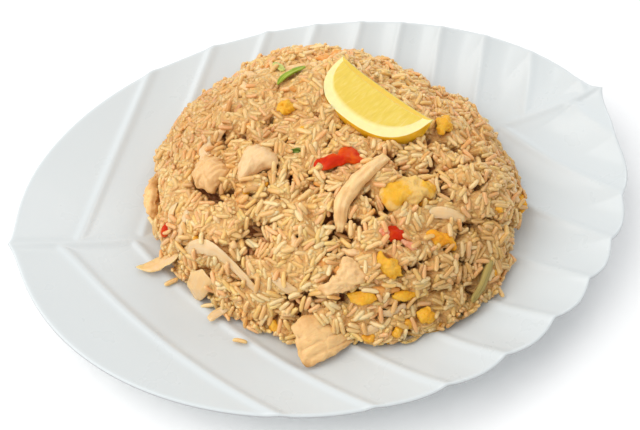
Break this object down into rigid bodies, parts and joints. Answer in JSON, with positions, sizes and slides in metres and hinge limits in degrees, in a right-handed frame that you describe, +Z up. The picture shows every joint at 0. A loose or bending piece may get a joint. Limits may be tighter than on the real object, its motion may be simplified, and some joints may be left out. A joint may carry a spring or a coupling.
{
  "type": "plate of thai fried rice",
  "caption": "Leaf-shaped white porcelain dish with a heap of fried rice, chicken, egg, onion and tomato pieces and a lemon wedge.",
  "frame": {"origin": "centre of the dish's outline, on the plane its foot ring stands on", "axes": "+X along the leaf towards its pointed tip, +Y to the far side of the dish, +Z up"},
  "size_m": [0.2999, 0.2268, 0.0648],
  "materials": {
    "porcelain": "gloss",
    "rice": "satin",
    "lemon": "satin",
    "chicken": "satin",
    "onion": "gloss",
    "egg": "satin",
    "tomato": "gloss",
    "greens": "satin"
  },
  "bodies": {
    "root": {"dish": "porcelain", "rice_heap": "rice", "lemon_wedge": "lemon", "chicken_strip": "chicken", "chicken_slice_front": "chicken", "chicken_flake_front": "chicken", "chicken_curl": "chicken", "chicken_chunk_left": "chicken", "chicken_edge_left": "chicken", "egg_large": "egg", "egg_front": "egg", "egg_orange": "egg", "egg_slice_left": "egg", "egg_slice_right": "egg", "egg_low": "egg", "egg_back": "egg", "egg_by_lemon": "egg", "egg_right_edge": "egg", "tomato_top": "tomato", "tomato_right": "tomato", "tomato_left": "tomato", "onion_lying": "onion", "onion_long": "onion", "onion_short": "onion", "onion_chunk": "onion", "onion_upright_1": "onion", "onion_upright_2": "onion", "onion_foot": "onion", "onion_front_oval": "onion", "onion_front_sliver": "onion", "onion_right": "onion", "onion_back": "onion", "onion_right_edge": "onion", "greens_bright": "greens", "greens_pale": "greens", "greens_dark": "greens", "greens_stalk": "greens", "fallen_grain_left": "rice", "fallen_grain_front": "rice"}
  },
  "joints": []
}
